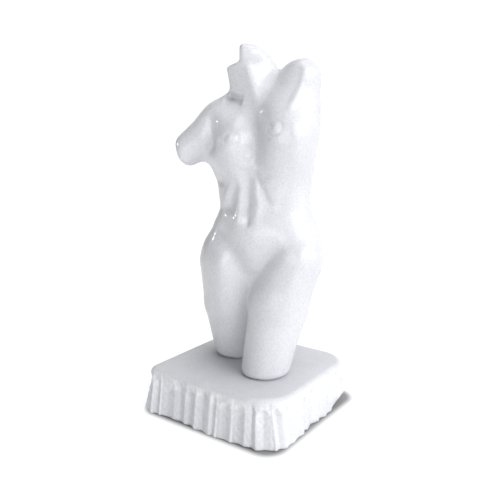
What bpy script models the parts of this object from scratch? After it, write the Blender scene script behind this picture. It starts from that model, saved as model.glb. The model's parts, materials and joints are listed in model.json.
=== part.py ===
"""A female torso statuette of white marble, and the rough-hewn square plinth that it stands on.

Metres, +Z up. The origin is the centre of the plinth's underside, and the plinth's sides run along X and Y.
The figure is one smooth field of blended masses, carved by strokes and cut by broken faces, and meshed with
one point in every cell that its surface crosses. Inside it, positions are (across, forward, up): across is
towards her left, forward is the way that her chest faces, and up counts from the plinth's top. They are
shares of her own height, in parts of 246. The plinth's side is lofted from its foot to its rim, and moved
in and out by its tool marks.
"""

import math

import bmesh
import bpy
import numpy as np

# The statuette's driving sizes
FIGURE_HEIGHT = 0.246
FIGURE_TURN = math.radians(16)  # her front, turned from -Y towards +X
FIGURE_PLACE = (0.0023, 0.0109)  # her own origin, from the plinth's centre
SEAT_GAP = 0.0003  # between the leg ends and the plinth's top

PLINTH_THICKNESS = 0.0327
FOOT_LOW = (-0.0630, -0.0625)  # the plinth's corners where it stands
FOOT_HIGH = (0.0630, 0.0615)
FOOT_CORNERS = (0.010, 0.022, 0.022, 0.012)  # corner radii: front left, front right, back right, back left
RIM_LOW = (-0.0645, -0.0540)  # and where its top edge starts to round over: the front leans back most
RIM_HIGH = (0.0585, 0.0625)
RIM_CORNERS = (0.009, 0.030, 0.024, 0.012)
TOP_EDGE_RADIUS = 0.0050
UNDERCUT = 0.010  # the foot is broken away toward its back right corner, by up to this
UNDERCUT_HEIGHT = 0.010
UNDERCUT_START = 0.008  # measured along the right side, from its middle
UNDERCUT_END = 0.056
FLUTE_SPACING = 0.0112  # between the ridges that the gouge left
FLUTE_DEPTH = 0.0013
FLUTE_START = 0.0012  # how much higher or lower than the rounded edge a stroke begins
FLUTE_RUN_IN = 0.0030  # how far down it reaches its depth
FLUTE_LEAN = 0.004  # how far a stroke leans over its height, away from the front right corner
PANEL_STEP = 0.0010  # how far one stroke stands out from the next
STEP_WIDTH = 0.0018  # over which it steps

# The meshes
PARTS = 246  # the figure's coordinates are parts of its height
FIGURE_CELL = 3.6  # in parts
FIGURE_TRIANGLES = 6800  # what the figure is thinned to, keeping most where it curves most
PLINTH_SIDE_POINTS = 44
PLINTH_CORNER_POINTS = 11

MARBLE_COLOUR = (0.86, 0.86, 0.87, 1.0)
MARBLE_ROUGHNESS = 0.32
PLINTH_COLOUR = (0.84, 0.84, 0.85, 1.0)
PLINTH_ROUGHNESS = 0.5

# The trunk's sections, bottom to top: up, centre across, centre forward, half width, depth in front, behind
TRUNK = (
    (68, 0.0, 0, 36.0, 22, 24),
    (84, 0.0, 0, 46.5, 27, 28),
    (98, 1.0, 0, 46.0, 29, 29),
    (112, 3.5, 0, 42.0, 28, 26),
    (128, 3.0, 0, 36.0, 24, 23),
    (142, 1.5, 0, 36.0, 23, 24),
    (158, 2.0, 0, 36.0, 23, 27),
    (176, 2.0, -1, 35.0, 21, 29),
    (192, 0.0, -2, 34.0, 20, 28),
    (206, -3.0, -3, 28.0, 17, 22),
    (218, -5.0, -3, 20.0, 14, 17),
)
SECTION_POWER = 2.2  # a little squarer than an ellipse

# Carving strokes on her front and back: a path of (across, up), half width, height, fade at each end
FRONT_STROKES = (
    # the midline from the breastbone to the navel, and the straight muscle on each side
    (((-1, 160), (-2, 150), (-3, 138), (-2, 121)), 4.2, -1.7, (0.3, 0.0)),
    (((-6, 158), (-9, 149), (-10.5, 138), (-10.5, 127), (-8, 115)), 3.6, 1.4, (0.3, 0.15)),
    (((2, 156), (5, 146), (6, 130), (3, 115)), 5.0, 1.2, (0.3, 0.3)),
    # the lower edge of the ribs on her left, with the rib block above it, and on her right
    (((-1, 158), (3, 154), (8, 143), (11, 136), (16, 129), (20, 127)), 2.8, -1.5, (0.2, 0.35)),
    (((11, 152), (16, 142), (24, 137)), 7.0, 1.2, (0.3, 0.3)),
    (((-11, 156), (-16, 145), (-22, 136), (-29, 125)), 3.4, 1.1, (0.3, 0.3)),
    (((-11, 150), (-15, 136), (-19, 121)), 4.5, -1.7, (0.3, 0.2)),
    (((-24, 154), (-29, 142)), 4.5, -1.8, (0.3, 0.3)),
    # the right groin and the thin crest over it, the left groin's fold, and the front of each thigh
    (((-32, 118), (-22, 108), (-14, 97), (-10, 88), (-8, 78), (-8, 66), (-9, 50)), 7.5, -3.6, (0.2, 0.4)),
    (((-21, 114), (-15, 109.5), (-9, 105)), 1.8, 0.6, (0.25, 0.3)),
    (((32, 106), (22, 98), (14, 91), (8, 84), (3, 76), (-2, 64)), 7.0, -3.4, (0.4, 0.3)),
    (((41, 109), (42, 101), (40, 92), (36, 82), (32, 70), (28, 58)), 5.0, 1.0, (0.3, 0.4)),
    (((-26, 101), (-23, 90), (-23, 76), (-26, 54), (-28, 28)), 8.0, 1.5, (0.25, 0.4)),
    # between the breasts
    (((0, 206), (1, 198), (3, 190), (3.5, 178), (3, 166), (1, 156)), 9.0, -3.6, (0.35, 0.35)),
    # the front of the raised arm, running down into the breast, and the side of the ribs under it
    (((36, 232), (36, 221), (33, 212), (29, 202), (26, 192)), 3.2, 1.4, (0.1, 0.4)),
    (((31, 196), (35, 182), (35.5, 168), (34, 150)), 4.5, 0.6, (0.3, 0.3)),
    # the hollow over the right collarbone, and the valley between the right arm and the breast
    (((-28, 209.5), (-19, 208.5), (-9, 206)), 3.2, -4.0, (0.3, 0.2)),
    (((-34, 202), (-33, 190), (-32, 178), (-32, 164)), 5.5, -3.0, (0.35, 0.25)),
)
BACK_STROKES = (
    # the spine, the cleft and the dimples over it
    (((1, 112), (3, 130), (3, 160), (0, 190), (-3, 205)), 4.5, -2.6, (0.15, 0.3)),
    (((0, 106), (0, 90), (0, 66)), 3.2, -4.0, (0.15, 0.0)),
    (((-13, 118), (-11, 114)), 4.0, -1.0, (0.3, 0.3)),
    (((13, 118), (11, 114)), 4.0, -1.0, (0.3, 0.3)),
    # the shoulder blades' inner and lower edges
    (((-9, 196), (-12, 182), (-17, 172), (-27, 168)), 3.6, -1.6, (0.25, 0.25)),
    (((11, 204), (13, 190), (17, 179), (27, 175)), 3.6, -1.6, (0.25, 0.25)),
    # under each buttock
    (((-36, 70), (-22, 65), (-8, 66)), 3.4, -2.2, (0.3, 0.3)),
    (((36, 70), (22, 65), (8, 66)), 3.4, -2.2, (0.3, 0.3)),
)


def clear_scene():
    """Removes whatever the file starts with."""
    for item in list(bpy.data.objects):
        bpy.data.objects.remove(item, do_unlink=True)


def ease(share):
    """A smooth step from 0 to 1."""
    share = np.clip(share, 0, 1)
    return share * share * (3 - 2 * share)


def join(first, second, blend):
    """Union of two fields, with a fillet of about this size between them."""
    near = np.maximum(blend - np.abs(first - second), 0) / blend
    return np.minimum(first, second) - near * near * blend / 4


def cut(first, second, blend):
    """What both fields hold, with a rounded edge of about this size."""
    return -join(-first, -second, blend)


def ellipsoid(points, centre, radii):
    offset = points - np.array(centre, float)
    radii = np.array(radii, float)
    reach = np.linalg.norm(offset / radii, axis=1)
    slope = np.linalg.norm(offset / radii**2, axis=1)
    return np.where(slope > 1e-9, reach * (reach - 1) / np.maximum(slope, 1e-9), -radii.min())


def limb(points, start, end, start_radius, end_radius):
    """A round limb that tapers from one ball to another."""
    start = np.array(start, float)
    axis = np.array(end, float) - start
    length2 = axis @ axis
    drop = start_radius - end_radius
    slant2 = length2 - drop * drop
    offset = points - start
    along = offset @ axis
    beyond = along - length2
    aside2 = ((offset * length2 - np.outer(along, axis)) ** 2).sum(axis=1)
    lean = np.sign(drop) * drop * drop * aside2
    side = (np.sqrt(aside2 * slant2 / length2) + along * drop) / length2 - start_radius
    far_ball = np.sqrt(aside2 + beyond**2 * length2) / length2 - end_radius
    near_ball = np.sqrt(aside2 + along**2 * length2) / length2 - start_radius
    distance = np.where(np.sign(beyond) * slant2 * beyond**2 * length2 > lean, far_ball, side)
    return np.where(np.sign(along) * slant2 * along**2 * length2 < lean, near_ball, distance)


def half_space(points, point, normal):
    """Negative on the side of the plane that is kept."""
    normal = np.array(normal, float)
    return (points - np.array(point, float)) @ (normal / np.linalg.norm(normal))


def smooth_curve(at, stations, values):
    """A cubic through the values that never overshoots between two of them."""
    stations = np.asarray(stations, float)
    values = np.asarray(values, float)
    span = np.diff(stations)
    rise = np.diff(values) / span
    slope = np.zeros(len(stations))
    slope[0], slope[-1] = rise[0], rise[-1]
    mean = (span[1:] * rise[:-1] + span[:-1] * rise[1:]) / (span[1:] + span[:-1])
    slope[1:-1] = np.where(rise[:-1] * rise[1:] > 0, mean, 0)
    at = np.clip(at, stations[0], stations[-1])
    i = np.clip(np.searchsorted(stations, at) - 1, 0, len(stations) - 2)
    t = (at - stations[i]) / span[i]
    leave = (1 + 2 * t) * (1 - t) ** 2 * values[i] + t * (1 - t) ** 2 * span[i] * slope[i]
    arrive = t * t * (3 - 2 * t) * values[i + 1] - t * t * (1 - t) * span[i] * slope[i + 1]
    return leave + arrive


def trunk(points):
    """The body from the hips to the base of the neck, lofted through its sections."""
    up = points[:, 2]
    columns = list(zip(*TRUNK))
    stations = columns[0]
    across, forward, width, front, back = (smooth_curve(up, stations, c) for c in columns[1:])
    u = points[:, 0] - across
    v = points[:, 1] - forward
    depth = np.where(v > 0, front, back)
    reach = (np.abs(u / width) ** SECTION_POWER + np.abs(v / depth) ** SECTION_POWER) ** (1 / SECTION_POWER)
    round_reach = np.maximum(np.hypot(u / width, v / depth), 1e-9)
    slope = np.maximum(np.hypot(u / width**2, v / depth**2) * reach / round_reach, 1e-9)
    body = np.where(reach < 1e-6, -np.minimum(width, depth), reach * (reach - 1) / slope)
    end_rounding = 12
    body = cut(body, up - stations[-1], end_rounding)
    return cut(body, stations[0] - up, end_rounding)


def legs(points):
    """Both thighs down to where they are cut: her left one steps forward."""
    right = join(
        limb(points, (-22.5, 0, 80), (-25, -6, 48), 27.6, 25.2),
        limb(points, (-25, -6, 48), (-25, -12, -4), 25.2, 17.0),
        2,
    )
    left = join(
        limb(points, (27.5, 8, 88), (18.5, 12, 53), 23, 22.4),
        limb(points, (18.5, 12, 53), (10, 23, -4), 22.4, 18.2),
        5,
    )
    between = limb(points, (0, 4, 82), (-6, -11, 6), 14, 8)
    return join(join(right, left, 3), between, 6)


def right_arm(points):
    """The short stump of the lowered arm, broken off above the elbow."""
    arm = limb(points, (-33, 2, 187), (-69, 15, 161), 17, 10.3)
    arm = join(arm, limb(points, (-40, 3, 172), (-31, 5, 155), 8, 4), 9)  # the fold in front of the armpit
    arm = cut(arm, half_space(points, (-65, 13, 165), (-0.88, 0.42, -0.2)), 5)
    return cut(arm, half_space(points, (-60, 15, 160.3), (-0.6, 0.1, -0.79)), 4)


def left_arm(points):
    """The raised upper arm, cut off short above the shoulder."""
    arm = limb(points, (24, -4, 186), (31.5, -4, 226), 17.5, 11.5)
    arm = cut(arm, half_space(points, (34.5, -4, 235), (0.7, 0, 1)), 7)
    return cut(arm, half_space(points, (35.5, -4, 234.5), (-0.43, 0, 0.9)), 3)


def neck(points):
    """The neck's stump: its throat is broken lower than the back, and two flat facets meet in front."""
    stump = limb(points, (-4, -2, 205), (-9, -1, 245), 18.5, 20.5)
    front_ridge = (1.4, 16, 210)
    stump = cut(stump, half_space(points, front_ridge, (0.566, 0.754, 0.199)), 2)
    stump = cut(stump, half_space(points, front_ridge, (-0.226, 0.915, -0.08)), 2)
    over_the_facets = ellipsoid(points, (-14, 5, 238.5), (18, 13, 11))
    stump = join(stump, over_the_facets, 2.5)
    aside = points[:, 0] * 0.94 - points[:, 1] * 0.342
    throat_step = join(-(aside + 16.5), points[:, 2] - 234 - 0.35 * (aside + 16.5), 2)
    stump = cut(stump, throat_step, 3)
    stump = cut(stump, half_space(points, (-9, 8, 246), (0.05, -0.12, 1)), 4)
    stump = cut(stump, half_space(points, (2, -3, 244.5), (0.6, -0.1, 0.8)), 5)
    return cut(stump, half_space(points, (4.5, -3, 239), (0.82, -0.1, 0.57)), 4)


def stroke(points, path, width, height, fades, side):
    """Relief along a path on her front (side 1) or her back (side -1), raised or sunk."""
    flat = points[:, (0, 2)]
    path = np.array(path, float)
    steps = np.diff(path, axis=0)
    lengths = np.linalg.norm(steps, axis=1)
    starts = np.concatenate([[0], np.cumsum(lengths)])
    nearest = np.full(len(flat), 1e9)
    along = np.zeros(len(flat))
    for start, step, length, passed in zip(path[:-1], steps, lengths, starts):
        t = np.clip((flat - start) @ step / length**2, 0, 1)
        distance = np.linalg.norm(flat - start - t[:, None] * step, axis=1)
        closer = distance < nearest
        nearest = np.where(closer, distance, nearest)
        along = np.where(closer, (passed + t * length) / starts[-1], along)
    relief = height * np.exp(-((nearest / width) ** 2)) * ease((side * points[:, 1] + 2) / 10)
    if fades[0]:
        relief = relief * ease(along / fades[0])
    if fades[1]:
        relief = relief * ease((1 - along) / fades[1])
    return relief


def figure(points):
    """The whole figure as one field: negative inside, in parts of its height."""
    body = trunk(points)
    for centre, radii in (((17, -1, 164), (20, 27, 36)), ((-14, -2, 166), (19, 26, 36))):
        body = join(body, ellipsoid(points, centre, radii), 4)  # the two halves of the ribcage
    for centre in ((-22, -17, 86), (20, -17, 86)):
        body = join(body, ellipsoid(points, centre, (23, 19, 25)), 8)  # buttocks
    body = join(body, ellipsoid(points, (-1, 10, 104), (27, 20, 24)), 10)  # belly
    body = join(body, legs(points), 8)
    body = join(body, ellipsoid(points, (-15, 13, 172), (19, 18, 22)), 9)  # right breast
    body = join(body, ellipsoid(points, (22, 10, 179), (21, 20, 24)), 14)  # left breast
    body = join(body, limb(points, (19, 5, 192), (28, -2, 222), 15, 12), 14)  # chest muscle to the raised arm
    body = join(body, ellipsoid(points, (-30, -3, 190), (16, 16, 15)), 12)  # right shoulder
    body = join(body, right_arm(points), 12)
    body = join(body, left_arm(points), 10)
    body = join(body, limb(points, (24, -8, 150), (26, -6, 200), 12, 13.5), 10)  # left flank
    body = join(body, limb(points, (0, -5, 214), (24, -5, 220), 10, 9), 6)  # from the neck to the raised arm
    body = join(body, neck(points), 5)
    body = join(body, limb(points, (17, -2, 222), (7, 10.5, 205), 5.5, 5), 2)  # strap muscle at its foot
    for path, width, height, fades in FRONT_STROKES:
        body = body - stroke(points, path, width, height, fades, 1)
    for path, width, height, fades in BACK_STROKES:
        body = body - stroke(points, path, width, height, fades, -1)
    body = cut(body, -ellipsoid(points, (-1.6, 29.2, 119), (2.2, 4, 2.8)), 3)  # navel
    leg_end_rounding = 5
    return cut(body, -points[:, 2], leg_end_rounding)


def corner_view(grid, corner):
    """The grid seen from one corner of its cells."""
    return grid[tuple(slice(c, n - 1 + c) for c, n in zip(corner, grid.shape))]


def even_out(value):
    """Fills the weakest empty corner where a cell's corners alternate, or the surface touches itself."""
    unit = np.eye(3, dtype=int)
    for _ in range(20):
        inside = value < 0
        patterns = []
        for axis in range(3):
            one, other = unit[(axis + 1) % 3], unit[(axis + 2) % 3]
            patterns.append(((0 * one, one + other), (one, other)))
        for flip in ((0, 0, 0), (1, 0, 0), (0, 1, 0), (0, 0, 1)):
            near = np.array(flip)
            rest = [c for c in np.ndindex(2, 2, 2) if tuple(c) not in (tuple(near), tuple(1 - near))]
            patterns.append(((near, 1 - near), rest))
        changed = False
        for pair, rest in patterns:
            ins = [corner_view(inside, c) for c in pair]
            outs = [corner_view(inside, c) for c in rest]
            same = ins[0] == ins[1]
            for other in outs:
                same = same & (other != ins[0])
            for cell in np.argwhere(same):
                ends = [tuple(cell + c) for c in list(pair) + list(rest)]
                empty = [end for end in ends if value[end] >= 0]
                if empty:
                    value[min(empty, key=lambda end: value[end])] = -1e-3
                    changed = True
            inside = value < 0
        if not changed:
            return value
    return value


def surface_of(field, low, high, cell):
    """Points and four-sided faces of the surface where the field is zero."""
    counts = np.ceil((np.array(high, float) - low) / cell).astype(int) + 1
    axes = [low[i] + cell * np.arange(counts[i]) for i in range(3)]
    corners = np.stack(np.meshgrid(*axes, indexing="ij"), -1)
    value = even_out(field(corners.reshape(-1, 3)).reshape(counts))
    inside = value < 0
    total = np.zeros(tuple(counts - 1) + (3,))
    crossings = np.zeros(counts - 1)
    # each cell's point is the mean of where its twelve edges cross the surface
    for axis in range(3):
        ends = [slice(None)] * 3
        begins = [slice(None)] * 3
        begins[axis] = slice(0, -1)
        ends[axis] = slice(1, None)
        begins, ends = tuple(begins), tuple(ends)
        crossed = inside[begins] != inside[ends]
        gap = np.where(crossed, value[begins] - value[ends], 1)
        share = np.where(crossed, value[begins] / gap, 0)
        place = corners[begins].copy()
        place[..., axis] += share * cell
        place = place * crossed[..., None]
        one, other = [i for i in range(3) if i != axis]
        for a in (0, 1):
            for b in (0, 1):
                part = [slice(None)] * 3
                part[one] = slice(a, counts[one] - 1 + a)
                part[other] = slice(b, counts[other] - 1 + b)
                total += place[tuple(part)]
                crossings += crossed[tuple(part)]
    used = crossings > 0
    number = np.full(used.shape, -1)
    number[used] = np.arange(used.sum())
    points = total[used] / crossings[used][:, None]
    faces = []
    # each grid edge that crosses the surface has four cells round it, which make one face
    for axis in range(3):
        one, other = (axis + 1) % 3, (axis + 2) % 3
        begins = [slice(1, -1)] * 3
        ends = [slice(1, -1)] * 3
        begins[axis] = slice(0, -1)
        ends[axis] = slice(1, None)
        first, second = inside[tuple(begins)], inside[tuple(ends)]
        for leaving in (True, False):
            found = np.argwhere(first & ~second if leaving else ~first & second)
            found[:, one] += 1
            found[:, other] += 1
            ring = []
            for a, b in ((1, 1), (0, 1), (0, 0), (1, 0)):
                cellwise = found.copy()
                cellwise[:, one] -= a
                cellwise[:, other] -= b
                ring.append(number[tuple(cellwise.T)])
            faces.append(np.stack(ring if leaving else ring[::-1], axis=1))
    return points, np.concatenate(faces)


def settle(points, field, most, rounds=3):
    """Moves points onto the surface along its slope, by at most this much each time."""
    reach = 0.05
    for _ in range(rounds):
        value = field(points)
        slope = np.empty_like(points)
        for axis in range(3):
            offset = np.zeros(3)
            offset[axis] = reach
            slope[:, axis] = (field(points + offset) - field(points - offset)) / (2 * reach)
        steep2 = np.maximum((slope**2).sum(axis=1), 0.05)
        move = -slope * (value / steep2)[:, None]
        length = np.maximum(np.linalg.norm(move, axis=1), 1e-9)
        points = points + move * np.minimum(1, most / length)[:, None]
    return points


def marble(name, colour, roughness):
    material = bpy.data.materials.new(name)
    material.use_nodes = True
    shader = material.node_tree.nodes["Principled BSDF"]
    shader.inputs["Base Color"].default_value = colour
    shader.inputs["Roughness"].default_value = roughness
    shader.inputs["Metallic"].default_value = 0.0
    return material


def add_object(name, points, faces, material):
    mesh = bpy.data.meshes.new(name)
    mesh.from_pydata([tuple(p) for p in points], [], [tuple(f) for f in faces])
    mesh.materials.append(material)
    piece = bpy.data.objects.new(name, mesh)
    bpy.context.scene.collection.objects.link(piece)
    mesh.shade_smooth()
    return piece


def add_figure():
    low = np.array([-76.0, -52.0, -2.0 * FIGURE_CELL])
    high = np.array([64.0, 50.0, 254.0])
    points, faces = surface_of(figure, low, high, FIGURE_CELL)
    points = settle(points, figure, FIGURE_CELL / 4)
    points[:, 2] = np.maximum(points[:, 2], 0)
    size = FIGURE_HEIGHT / PARTS
    left = np.array([math.cos(FIGURE_TURN), math.sin(FIGURE_TURN), 0])
    front = np.array([math.sin(FIGURE_TURN), -math.cos(FIGURE_TURN), 0])
    placed = (points[:, :1] * left + points[:, 1:2] * front + points[:, 2:] * np.array([0, 0, 1])) * size
    # across, forward and up are a left-handed set, so the faces turn round
    material = marble("polished_marble", MARBLE_COLOUR, MARBLE_ROUGHNESS)
    piece = add_object("female_torso", placed, faces[:, ::-1], material)
    piece.location = (FIGURE_PLACE[0], FIGURE_PLACE[1], PLINTH_THICKNESS + SEAT_GAP)
    thin = piece.modifiers.new("thin_out", "DECIMATE")
    thin.ratio = min(1.0, FIGURE_TRIANGLES / (2 * len(faces)))
    return piece


def rounded_outline(low, high, radii, side_points, corner_points):
    """Points and outward directions round a rectangle, anticlockwise from its front left corner."""
    corners = ((low[0], low[1]), (high[0], low[1]), (high[0], high[1]), (low[0], high[1]))
    inward = ((1, 1), (-1, 1), (-1, -1), (1, -1))
    centres = [np.array(c) + r * np.array(i) for c, r, i in zip(corners, radii, inward)]
    points, normals = [], []
    for i in range(4):
        start = math.pi + i * math.pi / 2
        for step in range(corner_points):
            turn = start + step / corner_points * math.pi / 2
            normals.append(np.array([math.cos(turn), math.sin(turn)]))
            points.append(centres[i] + radii[i] * normals[-1])
        normal = np.array([math.cos(start + math.pi / 2), math.sin(start + math.pi / 2)])
        begin = centres[i] + radii[i] * normal
        end = centres[(i + 1) % 4] + radii[(i + 1) % 4] * normal
        for step in range(side_points):
            points.append(begin + (end - begin) * step / side_points)
            normals.append(normal)
    return np.array(points), np.array(normals)


def hewn_relief(outline, height):
    """How far the tool left the side out (or in, below 0) at each point of the outline, at this height."""
    steps = np.linalg.norm(outline - np.roll(outline, 1, axis=0), axis=1)
    along = np.cumsum(steps)
    length = along[-1]
    count = round(length / FLUTE_SPACING)
    ridges = [length * (i + 0.5 + 0.18 * math.sin(2.4 * i)) / count for i in range(count)]
    ridges.append(ridges[0] + length)
    rim = PLINTH_THICKNESS - TOP_EDGE_RADIUS
    relief = np.zeros(len(outline))
    for i in range(count):
        # one stroke of the gouge: a shallow hollow between two ridges, with a round upper end
        middle, half = (ridges[i] + ridges[i + 1]) / 2, (ridges[i + 1] - ridges[i]) / 2
        off = np.abs(along - middle)
        off = np.minimum(off, length - off)
        share = np.minimum(off / half, 1)
        begun = rim + FLUTE_START * math.sin(4.3 * i) - half * (1 - np.sqrt(1 - share**2))
        deep = FLUTE_DEPTH * (1 + 0.35 * math.sin(5.1 * i + 1)) * (1 + np.cos(math.pi * share)) / 2
        relief -= deep * ease((begun - height) / FLUTE_RUN_IN)
        on_face = ease((half - off) / STEP_WIDTH + 0.5)
        relief += on_face * PANEL_STEP * math.sin(7.3 * i + 2) * (1.4 - 0.9 * height / rim)
    return relief


def rim_distance(points):
    """Distance from the rim's outline, negative inside it."""
    low, high = np.array(RIM_LOW), np.array(RIM_HIGH)
    from_middle = points - (low + high) / 2
    front_left, front_right, back_right, back_left = RIM_CORNERS
    front = np.where(from_middle[:, 0] < 0, front_left, front_right)
    back = np.where(from_middle[:, 0] < 0, back_left, back_right)
    radius = np.where(from_middle[:, 1] < 0, front, back)
    past = np.abs(from_middle) - (high - low) / 2 + radius[:, None]
    return np.minimum(past.max(axis=1), 0) + np.linalg.norm(np.maximum(past, 0), axis=1) - radius


def rim_above(foot, normals):
    """Where each foot point's stroke meets the rim, straight up or leaning, and the way out from there."""
    tangents = np.column_stack([-normals[:, 1], normals[:, 0]])
    leaning = FLUTE_LEAN * (np.maximum(normals[:, 0], 0) ** 2 - np.minimum(normals[:, 1], 0) ** 2)
    start = foot + tangents * leaning[:, None]
    reach = np.zeros(len(foot))
    landing_steps = 24
    for _ in range(landing_steps):
        reach += rim_distance(start - normals * reach[:, None])
    rim = start - normals * reach[:, None]
    nearby = 1e-5
    sideways = rim_distance(rim + (nearby, 0)) - rim_distance(rim - (nearby, 0))
    forward = rim_distance(rim + (0, nearby)) - rim_distance(rim - (0, nearby))
    outward = np.column_stack([sideways, forward])
    return rim, outward / np.linalg.norm(outward, axis=1)[:, None]


def plinth_ring(height, inset, side_points, corner_points):
    """The plinth's side at this height, set in by this much."""
    foot, normals = rounded_outline(FOOT_LOW, FOOT_HIGH, FOOT_CORNERS, side_points, corner_points)
    rim, outward = rim_above(foot, normals)
    rim_height = PLINTH_THICKNESS - TOP_EDGE_RADIUS
    lean = min(1.0, height / rim_height)
    over = max(0.0, (height - rim_height) / TOP_EDGE_RADIUS)
    relief = hewn_relief(foot, min(height, rim_height)) * (1 - over)
    ring = foot + (rim - foot) * lean + normals * relief[:, None] - outward * inset
    broken = ease((ring[:, 1] - UNDERCUT_START) / (UNDERCUT_END - UNDERCUT_START))
    broken = broken * ease(ring[:, 0] / FOOT_HIGH[0]) * ease(1 - height / UNDERCUT_HEIGHT)
    ring[:, 0] -= UNDERCUT * broken
    return np.column_stack([ring, np.full(len(ring), height)])


def rim_turns(count):
    """Heights and insets over the rounded top edge, after its lower end."""
    for i in range(1, count + 1):
        turn = i / count * math.pi / 2
        yield (
            PLINTH_THICKNESS - TOP_EDGE_RADIUS * (1 - math.sin(turn)),
            TOP_EDGE_RADIUS * (1 - math.cos(turn)),
        )


def add_plinth():
    rim = PLINTH_THICKNESS - TOP_EDGE_RADIUS
    levels = [(0.0, 0.0), (UNDERCUT_HEIGHT, 0.0), (rim * 0.75, 0.0), (rim, 0.0)]
    levels += rim_turns(2)
    rings = [plinth_ring(height, inset, PLINTH_SIDE_POINTS, PLINTH_CORNER_POINTS) for height, inset in levels]
    count = len(rings[0])
    faces = []
    for ring in range(len(rings) - 1):
        for i in range(count):
            j = (i + 1) % count
            faces.append((ring * count + i, ring * count + j, (ring + 1) * count + j, (ring + 1) * count + i))
    points = np.concatenate(rings)
    points[:, :2] -= (points[:, :2].max(axis=0) + points[:, :2].min(axis=0)) / 2
    piece = add_object("plinth", points, faces, marble("hewn_marble", PLINTH_COLOUR, PLINTH_ROUGHNESS))
    built = bmesh.new()
    built.from_mesh(piece.data)
    open_edges = [edge for edge in built.edges if edge.is_boundary]
    bmesh.ops.holes_fill(built, edges=open_edges, sides=0)
    bmesh.ops.recalc_face_normals(built, faces=built.faces)
    built.to_mesh(piece.data)
    built.free()
    return piece


clear_scene()
add_figure()
add_plinth()
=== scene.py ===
"""The looks of the marble torso statuette and its plinth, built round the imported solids.

The figure is the same field of blended masses as its solid, meshed finer, with the nipples and the
unevenness of the hand polish added. The plinth is the same loft and tool marks, with the tool's grain.
Positions in the figure are (across, forward, up) in parts, which are nearly millimetres. Other lengths are
in metres.
"""

import json
import math

import bpy
import numpy as np
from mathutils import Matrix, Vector

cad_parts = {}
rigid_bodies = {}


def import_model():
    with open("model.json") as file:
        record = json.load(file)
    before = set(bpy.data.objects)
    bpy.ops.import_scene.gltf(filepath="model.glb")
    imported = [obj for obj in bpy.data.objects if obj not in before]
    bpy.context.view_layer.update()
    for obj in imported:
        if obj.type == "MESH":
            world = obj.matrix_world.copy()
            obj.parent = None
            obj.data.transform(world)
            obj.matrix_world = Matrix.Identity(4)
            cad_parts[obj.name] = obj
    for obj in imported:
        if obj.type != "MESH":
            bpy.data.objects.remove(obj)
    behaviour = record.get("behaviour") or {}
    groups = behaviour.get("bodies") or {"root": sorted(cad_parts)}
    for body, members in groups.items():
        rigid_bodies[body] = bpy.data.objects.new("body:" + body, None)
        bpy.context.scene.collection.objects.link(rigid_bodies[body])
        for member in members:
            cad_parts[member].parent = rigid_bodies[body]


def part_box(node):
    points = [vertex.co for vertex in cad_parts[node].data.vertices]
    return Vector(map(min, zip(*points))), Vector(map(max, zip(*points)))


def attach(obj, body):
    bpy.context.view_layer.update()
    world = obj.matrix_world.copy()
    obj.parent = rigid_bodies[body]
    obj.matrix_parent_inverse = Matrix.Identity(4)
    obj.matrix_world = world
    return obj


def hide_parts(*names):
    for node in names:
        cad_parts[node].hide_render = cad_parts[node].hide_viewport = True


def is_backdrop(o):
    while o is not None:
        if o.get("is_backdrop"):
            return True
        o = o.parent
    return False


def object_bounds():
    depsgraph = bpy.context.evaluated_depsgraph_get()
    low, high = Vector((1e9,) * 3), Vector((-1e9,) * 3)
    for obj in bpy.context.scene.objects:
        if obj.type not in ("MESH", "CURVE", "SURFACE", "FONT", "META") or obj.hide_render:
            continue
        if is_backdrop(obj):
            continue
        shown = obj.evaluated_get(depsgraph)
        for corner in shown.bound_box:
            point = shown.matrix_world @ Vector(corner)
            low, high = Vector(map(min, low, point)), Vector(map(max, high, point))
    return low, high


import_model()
CAD_LOW, CAD_HIGH = (np.array(corner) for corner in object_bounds())
FIGURE_LOW, FIGURE_HIGH = (np.array(corner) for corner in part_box("female_torso"))
PLINTH_LOW, PLINTH_HIGH = (np.array(corner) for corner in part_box("plinth"))

# The figure, in parts of its own height
FIGURE_TURN = math.radians(16)  # her front, turned from -Y towards +X
FIELD_LOW = np.array([-76.0, -52.0, -4.0])  # the space that her surface is looked for in
FIELD_HIGH = np.array([64.0, 50.0, 254.0])
FIGURE_CELL = 1.96  # halved once after the surface is found
SLOPE_STEP = 0.05  # over which the field's slope is measured
LEAST_SLOPE = 0.05  # squared, and taken where the field is flatter, so that no point is thrown far
HAND_RIPPLE = 0.05  # how far the polished surface wanders
HAND_RIPPLE_LENGTH = 23
NIPPLES = (  # centre, and the way that it faces
    ((20.0, 29.0, 187.0), (0.1, 0.97, 0.2)),
    ((-14.0, 31.0, 179.0), (-0.25, 0.95, 0.15)),
)
NIPPLE_HEIGHT = 1.0
NIPPLE_WIDTH = 2.6
AREOLA_RADIUS = 5.0  # of the faint groove round it
AREOLA_DEPTH = 0.35
AREOLA_WIDTH = 1.1
NIPPLE_REACH = 14  # past which neither moves the surface

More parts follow.
